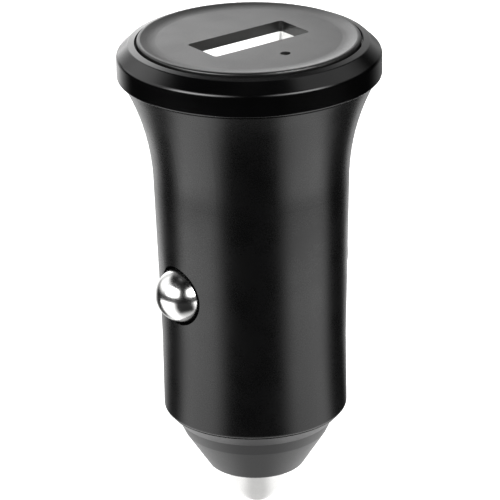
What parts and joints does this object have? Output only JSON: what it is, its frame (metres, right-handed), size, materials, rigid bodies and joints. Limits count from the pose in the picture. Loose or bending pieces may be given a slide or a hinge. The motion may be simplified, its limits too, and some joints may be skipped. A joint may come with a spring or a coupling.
{
  "type": "car usb charger plug",
  "caption": "Round plug-in charger for a vehicle's 12 V outlet, with a flared barrel, sprung tip and side contacts, and a USB-A socket in its face.",
  "frame": {"origin": "on the plug's axis, in the straight grip at the barrel's lower end", "axes": "+Z out of the face, X along the long side of the USB opening with the side contacts at -X and +X, indicator hole towards -Y"},
  "size_m": [0.0282, 0.0282, 0.054],
  "materials": {
    "satin_shell": "satin moulded",
    "gloss_ring": "gloss",
    "satin_face": "fine satin texture",
    "satin_nose": "satin moulded",
    "plated_tip": "polished nickel plate",
    "plated_dome": "polished",
    "spring_steel": "drawn wire",
    "brass": "plain",
    "grey_carrier": "moulded",
    "board": "solder mask",
    "socket_shell": "nickel-plated sheet",
    "socket_insulator": "moulded",
    "gold_blade": "plated",
    "lamp_epoxy": "clear epoxy",
    "chip_epoxy": "moulded",
    "fuse_body": "plain",
    "ferrite": "plain",
    "copper_wire": "enamelled",
    "capacitor_sleeve": "sleeved can",
    "chip_ceramic": "plain",
    "chip_ceramic_tan": "plain"
  },
  "bodies": {
    "charger": {"body_shell": "satin_shell", "bezel_ring": "gloss_ring", "face_plate": "satin_face", "nose_cap": "satin_nose", "tip_spring": "spring_steel", "spring_seat": "brass", "inner_carrier": "grey_carrier", "circuit_board": "board", "usb_shell": "socket_shell", "usb_tongue": "socket_insulator", "usb_contact_1": "gold_blade", "usb_contact_2": "gold_blade", "usb_contact_3": "gold_blade", "usb_contact_4": "gold_blade", "status_led": "lamp_epoxy", "controller_chip": "chip_epoxy", "rectifier_diode": "chip_epoxy", "resettable_fuse": "fuse_body", "inductor_core": "ferrite", "inductor_winding": "copper_wire", "input_capacitor": "capacitor_sleeve", "output_capacitor": "capacitor_sleeve", "chip_resistors": "chip_ceramic", "chip_capacitors": "chip_ceramic_tan"},
    "tip": {"tip_contact": "plated_tip"},
    "left_contact": {"ground_contact_left": "plated_dome"},
    "right_contact": {"ground_contact_right": "plated_dome"}
  },
  "joints": [
    {"name": "tip_press", "type": "slide", "parent": "charger", "child": "tip", "axis": [0, 0, 1], "range_m": [0, 0.0025], "stiffness_N_per_m": 1000, "springref_m": -0.0015, "deforming": ["tip_spring"]},
    {"name": "left_contact_press", "type": "hinge", "parent": "charger", "child": "left_contact", "pos_m": [-0.00743, 0, -0.0007], "axis": [0, 1, 0], "range_deg": [0, 12], "stiffness_Nm_per_rad": 0.1, "springref_deg": -5.73},
    {"name": "right_contact_press", "type": "hinge", "parent": "charger", "child": "right_contact", "pos_m": [0.00743, 0, -0.0007], "axis": [0, -1, 0], "range_deg": [0, 12], "stiffness_Nm_per_rad": 0.1, "springref_deg": -5.73}
  ]
}
